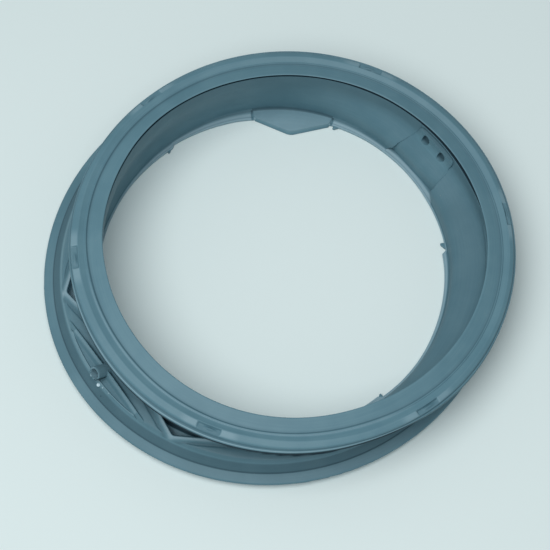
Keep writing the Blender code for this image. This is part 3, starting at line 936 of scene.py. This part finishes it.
def cut_from(body, tool):
    """A body less a tool, as a bmesh; both objects are removed."""
    mod = body.modifiers.new("cut", 'BOOLEAN')
    mod.operation, mod.solver, mod.object = 'DIFFERENCE', 'EXACT', tool
    bm = bmesh.new()
    bm.from_object(body, bpy.context.evaluated_depsgraph_get())
    for obj in (body, tool):
        mesh = obj.data
        bpy.data.objects.remove(obj, do_unlink=True)
        bpy.data.meshes.remove(mesh)
    return bm


def along_axis(place, axis):
    """Matrix that sets something at a place, with its own Z along an axis."""
    return Matrix.Translation(place) @ axis.to_track_quat('Z', 'Y').to_matrix().to_4x4()


def rod(bm, start, end, radius, sides):
    bmesh.ops.create_cone(bm, cap_ends=True, segments=sides, radius1=radius, radius2=radius,
                          depth=(end - start).length, matrix=along_axis(0.5 * (start + end), end - start))


class GASKET_OT_drain_stub(bpy.types.Operator):
    """Drain stub in the fold, with its torn mouth"""
    bl_idname = "gasket.drain_stub"
    bl_label = "Drain stub"

    def execute(self, context):
        s = context.scene.gasket_sizes
        at, rise = radians(STUB_AT), radians(35)
        out = Vector((cos(rise) * cos(at), cos(rise) * sin(at), sin(rise)))
        mouth = local(radians(-144.03), 173.2 * MM, 0) + Vector((0, 0, 23.0 * MM))
        mouth = leant(mouth, s) + Vector((s.set_back, 0, 0))
        root = mouth - out * (15.5 * MM / cos(rise))
        bm = bmesh.new()
        rod(bm, root, mouth, s.stub_radius, 48)
        cap = max((f for f in bm.faces if len(f.verts) > 4), key=lambda f: f.calc_center_median().dot(out))
        bmesh.ops.inset_region(bm, faces=[cap], thickness=s.stub_radius - s.bore_radius - 0.5 * MM,
                               use_even_offset=True)
        bottom = verts_of(bmesh.ops.extrude_face_region(bm, geom=[cap]))
        bmesh.ops.delete(bm, geom=[cap], context='FACES')
        bmesh.ops.translate(bm, verts=bottom, vec=-out * 9 * MM)
        side = out.orthogonal().normalized()
        up = out.cross(side)
        long_edges = [e for e in bm.edges if abs((e.verts[0].co - e.verts[1].co).dot(out)) > 8 * MM]
        bmesh.ops.subdivide_edges(bm, edges=long_edges, cuts=10)
        for vert in bm.verts:
            off = vert.co - mouth
            along = off.dot(out)
            turn = atan2(off.dot(up), off.dot(side))
            ragged = noise.noise(Vector((2.2 * cos(turn), 2.2 * sin(turn), 4.0)))
            ragged += 0.6 * noise.noise(Vector((5 * cos(turn), 5 * sin(turn), 9.0)))
            near = ramp(along, -1.5 * MM, 3 * MM)
            vert.co += out * 0.55 * MM * ragged * near
            radial = off - out * along
            if radial.length > 4.6 * MM:
                flare = 0.35 * MM * near * (0.4 + ragged) + 0.9 * MM * ramp(-along, 15.5 * MM, 3 * MM)
                vert.co += radial.normalized() * flare
        rounded(bm, [e for e in bm.edges if e.calc_face_angle(0) > radians(55)], 0.3, 2)
        # Painted light over the stub and inside its bore, painted shadow along its underside, and a painted
        # highlight and painted shade on the mouth's rim
        tone = bm.verts.layers.float.new(PAINTED_LIGHT_TONE)
        underside = Vector((0.29, -0.86, -0.41))
        for vert in bm.verts:
            off = vert.co - mouth
            along = off.dot(out)
            radial = off - out * along
            if radial.length < 4.4 * MM:                # inside the bore
                vert[tone] = 0.15
                continue
            facing = radial.normalized()
            turn = atan2(facing.y, -facing.x)
            vert[tone] = 0.06 - 0.90 * ramp(facing.dot(underside), 0.86, 0.1)
            if along > -1.2 * MM:
                vert[tone] += 0.4 * hump(turn, 0.0, 0.35)
                vert[tone] -= 0.8 * max(hump(turn, 0.55, 0.3), hump(turn, -0.6, 0.3))
        finish_piece("drain_stub", bm, 45, rigid=True)
        return {'FINISHED'}


class GASKET_OT_lip_nibs(bpy.types.Operator):
    """Small saw-tooth nibs on the edge of the tub-side lip"""
    bl_idname = "gasket.lip_nibs"
    bl_label = "Lip nibs"

    def execute(self, context):
        s = context.scene.gasket_sizes
        tip, root, count = LIP_EDGE_R * MM - s.nib_height, 144.2 * MM, 6
        for k in range(count):
            mid = radians(8.5) + 2 * pi * k / count
            bm = bmesh.new()
            extruded(bm, [local(mid, root, -3.6 * MM), local(mid, root, 2.4 * MM),
                          local(mid, tip, 2.4 * MM), local(mid, tip, 0.9 * MM)], 0.4 * MM, 2.6 * MM)
            rounded(bm, bm.edges[:], 0.3, 2)
            finish_piece("lip_nib_%d" % (k + 1), bm, 40)
        return {'FINISHED'}


class GASKET_OT_mould_pips(bpy.types.Operator):
    """Little round moulding pips on the shelf beside the drain stub"""
    bl_idname = "gasket.mould_pips"
    bl_label = "Mould pips"

    def execute(self, context):
        for number, (r, at, radius, z, tone) in enumerate(PIPS, start=1):
            bm = bmesh.new()
            bmesh.ops.create_uvsphere(bm, u_segments=20, v_segments=12, radius=radius * MM)
            bmesh.ops.scale(bm, verts=bm.verts[:], vec=(1, 1, 0.7))
            place = local(radians(at), r * MM, 0) + Vector((0, 0, z * MM))
            bmesh.ops.translate(bm, verts=bm.verts[:], vec=place)
            toned(bm, lambda *spot: tone)
            finish_piece("mould_pip_%d" % number, bm, rigid=True)
        return {'FINISHED'}


class GASKET_OT_studio(bpy.types.Operator):
    """Pale floor, soft light from above and the camera"""
    bl_idname = "gasket.studio"
    bl_label = "Studio"

    def execute(self, context):
        scene = context.scene
        st = scene.studio_settings
        bm = bmesh.new()
        bmesh.ops.create_circle(bm, cap_ends=True, segments=96, radius=FLOOR_RADIUS)
        floor = placed("floor", bm)
        mat = bpy.data.materials.new("pale_floor")
        mat.use_nodes = True
        bsdf = mat.node_tree.nodes["Principled BSDF"]
        bsdf.inputs["Base Color"].default_value = rgba(st.floor)
        bsdf.inputs["Roughness"].default_value = 0.9
        bsdf.inputs["Specular IOR Level"].default_value = 0.1
        floor.data.materials.append(mat)

        light = bpy.data.lights.new("key_softbox", 'AREA')
        light.shape, light.size, light.energy = 'DISK', LAMP_SIZE, st.key
        lamp = bpy.data.objects.new("key_softbox", light)
        lamp.matrix_world = along_axis(LAMP_PLACE, LAMP_PLACE - LAMP_AIM)
        scene.collection.objects.link(lamp)

        world = bpy.data.worlds.new("studio_world")
        world.use_nodes = True
        background = world.node_tree.nodes["Background"].inputs
        background["Color"].default_value = SKY
        background["Strength"].default_value = st.fill
        scene.world = world

        cam = bpy.data.cameras.new("camera")
        cam.lens = st.lens
        cam.sensor_width = 36
        cam.clip_start = 0.05
        obj = bpy.data.objects.new("camera", cam)
        obj.matrix_world = Matrix.Translation(CAMERA_PLACE) @ Matrix(CAMERA_TURN).to_4x4()
        scene.collection.objects.link(obj)
        scene.camera = obj
        scene.view_settings.view_transform = 'Standard'
        return {'FINISHED'}


class GASKET_PT_panel(bpy.types.Panel):
    """Lists the steps, the sizes and the colours"""
    bl_idname = "GASKET_PT_panel"
    bl_label = "Door gasket"
    bl_space_type = 'VIEW_3D'
    bl_region_type = 'UI'
    bl_category = "Gasket"

    def draw(self, context):
        layout = self.layout
        for step in STEPS:
            layout.operator(step.bl_idname)
        for group in (context.scene.gasket_sizes, context.scene.rubber_finish, context.scene.studio_settings):
            box = layout.box()
            for key in group.bl_rna.properties.keys():
                if key not in ("rna_type", "name"):
                    box.prop(group, key)


STEPS = (GASKET_OT_studio, GASKET_OT_door_ring, GASKET_OT_inner_wall, GASKET_OT_tub_flange,
         GASKET_OT_pull_tongue, GASKET_OT_wall_pad, GASKET_OT_drain_stub, GASKET_OT_lip_nibs,
         GASKET_OT_mould_pips)
CLASSES = (GasketSizes, RubberFinish, StudioSettings, *STEPS, GASKET_PT_panel)


def register():
    for cls in CLASSES:
        bpy.utils.register_class(cls)
    bpy.types.Scene.gasket_sizes = PointerProperty(type=GasketSizes)
    bpy.types.Scene.rubber_finish = PointerProperty(type=RubberFinish)
    bpy.types.Scene.studio_settings = PointerProperty(type=StudioSettings)


def unregister():
    del bpy.types.Scene.gasket_sizes, bpy.types.Scene.rubber_finish, bpy.types.Scene.studio_settings
    for cls in reversed(CLASSES):
        bpy.utils.unregister_class(cls)


def main():
    register()
    for step in STEPS:
        group, name = step.bl_idname.split(".")
        getattr(getattr(bpy.ops, group), name)()


if __name__ == "__main__":
    main()
